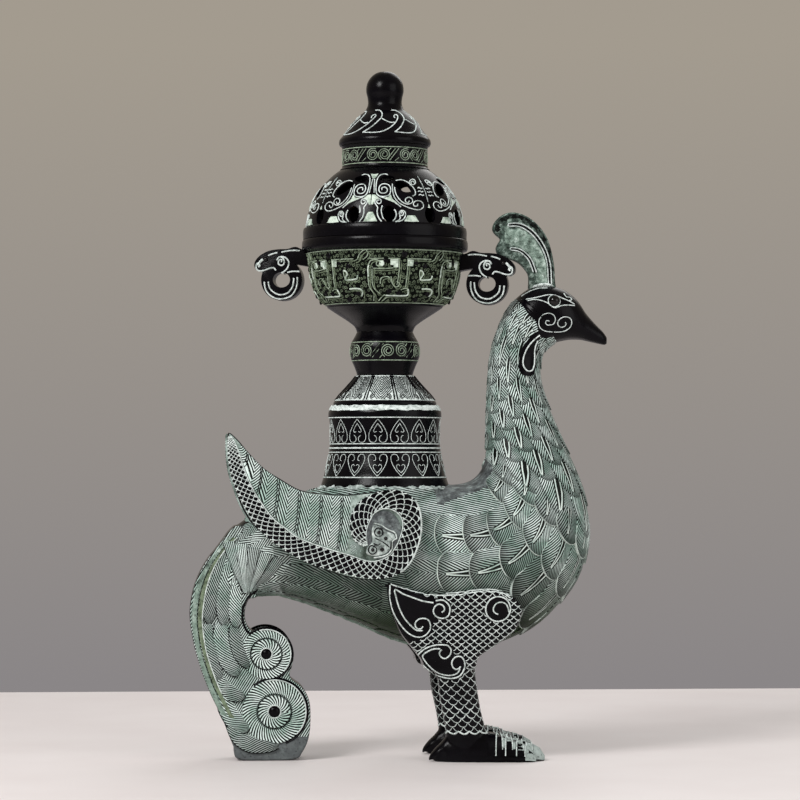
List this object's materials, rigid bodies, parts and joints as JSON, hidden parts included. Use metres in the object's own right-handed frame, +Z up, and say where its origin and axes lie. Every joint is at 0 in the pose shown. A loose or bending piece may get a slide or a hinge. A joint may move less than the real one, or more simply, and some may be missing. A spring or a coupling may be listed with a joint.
{
  "type": "phoenix incense burner",
  "caption": "Standing phoenix in patinated bronze carrying a footed incense bowl with fixed loop handles and a pierced lift-off domed cover",
  "frame": {"origin": "on the floor, in the middle of the object's length and width", "axes": "+Z up, +X the way the bird looks, +Y to the bird's left"},
  "size_m": [0.2509, 0.101, 0.4117],
  "materials": {
    "black_bronze": "black patinated cast bronze, satin, pale incised lines",
    "patinated_bronze": "grey-green patina over dark cast bronze, fine incised hatching",
    "liner_brass": "plain turned brass, dull",
    "fixing_steel": "plain steel",
    "eye_bead": "glossy black bead"
  },
  "bodies": {
    "bird": {"bird_body": "patinated_bronze", "bowl": "black_bronze", "crest": "patinated_bronze", "front_handle": "black_bronze", "head": "black_bronze", "left_eye": "eye_bead", "left_leg": "black_bronze", "left_leg_bolt": "fixing_steel", "left_wing": "black_bronze", "left_wing_front_rivet": "fixing_steel", "left_wing_rear_rivet": "fixing_steel", "lower_nut": "fixing_steel", "lower_washer": "fixing_steel", "pedestal": "black_bronze", "rear_handle": "black_bronze", "right_eye": "eye_bead", "right_leg": "black_bronze", "right_leg_bolt": "fixing_steel", "right_wing": "black_bronze", "right_wing_front_rivet": "fixing_steel", "right_wing_rear_rivet": "fixing_steel", "skirt": "patinated_bronze", "stem_knop": "black_bronze", "tail": "patinated_bronze", "tie_rod": "fixing_steel", "upper_nut": "fixing_steel", "upper_washer": "fixing_steel"},
    "cover": {"dome_cover": "black_bronze", "vent_collar": "black_bronze", "cap_finial": "black_bronze", "cap_screw": "fixing_steel", "cap_washer": "fixing_steel"},
    "ash_cup": {"ash_cup": "liner_brass"}
  },
  "joints": [
    {"name": "cover_lift", "type": "slide", "parent": "bird", "child": "cover", "axis": [0, 0, 1], "range_m": [0, 0.15]},
    {"name": "ash_cup_lift", "type": "slide", "parent": "bird", "child": "ash_cup", "axis": [0, 0, 1], "range_m": [0, 0.02]}
  ]
}
